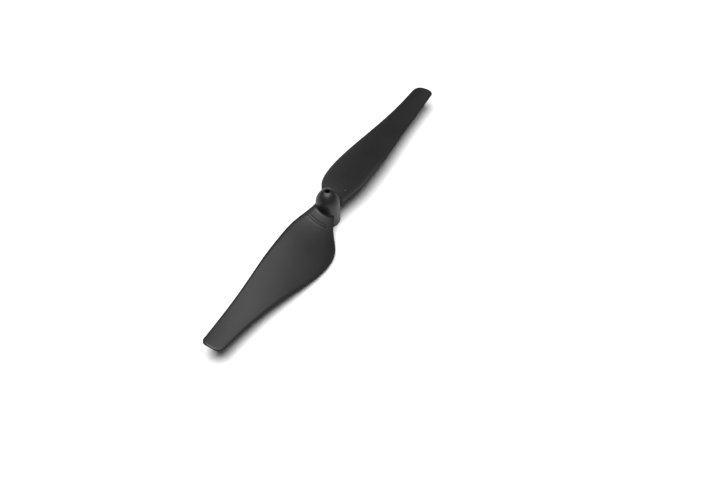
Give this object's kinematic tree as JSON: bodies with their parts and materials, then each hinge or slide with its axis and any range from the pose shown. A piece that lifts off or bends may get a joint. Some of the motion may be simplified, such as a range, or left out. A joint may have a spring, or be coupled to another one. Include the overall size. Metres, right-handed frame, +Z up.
{
  "type": "drone propeller",
  "caption": "Press-on propeller with broad twisted blades, square rounded tips, a domed hub and a central shaft hole, ring-marked on one blade, turning clockwise from above.",
  "frame": {"origin": "on the hub's axis at the foot of the hub, which is the lowest point of the part", "axes": "+Z up along the motor shaft towards the dome; +X along the ring-marked blade; +Y towards that blade's trailing edge"},
  "size_m": [0.0762, 0.0124, 0.0077],
  "materials": {
    "hub_plastic": "black, semi-gloss moulded plastic",
    "blade_plastic": "black, satin moulded plastic",
    "sleeve_plastic": "black, as moulded"
  },
  "bodies": {
    "root": {"hub_cap": "hub_plastic", "shaft_sleeve": "sleeve_plastic", "marked_blade": "blade_plastic", "plain_blade": "blade_plastic"}
  },
  "joints": []
}
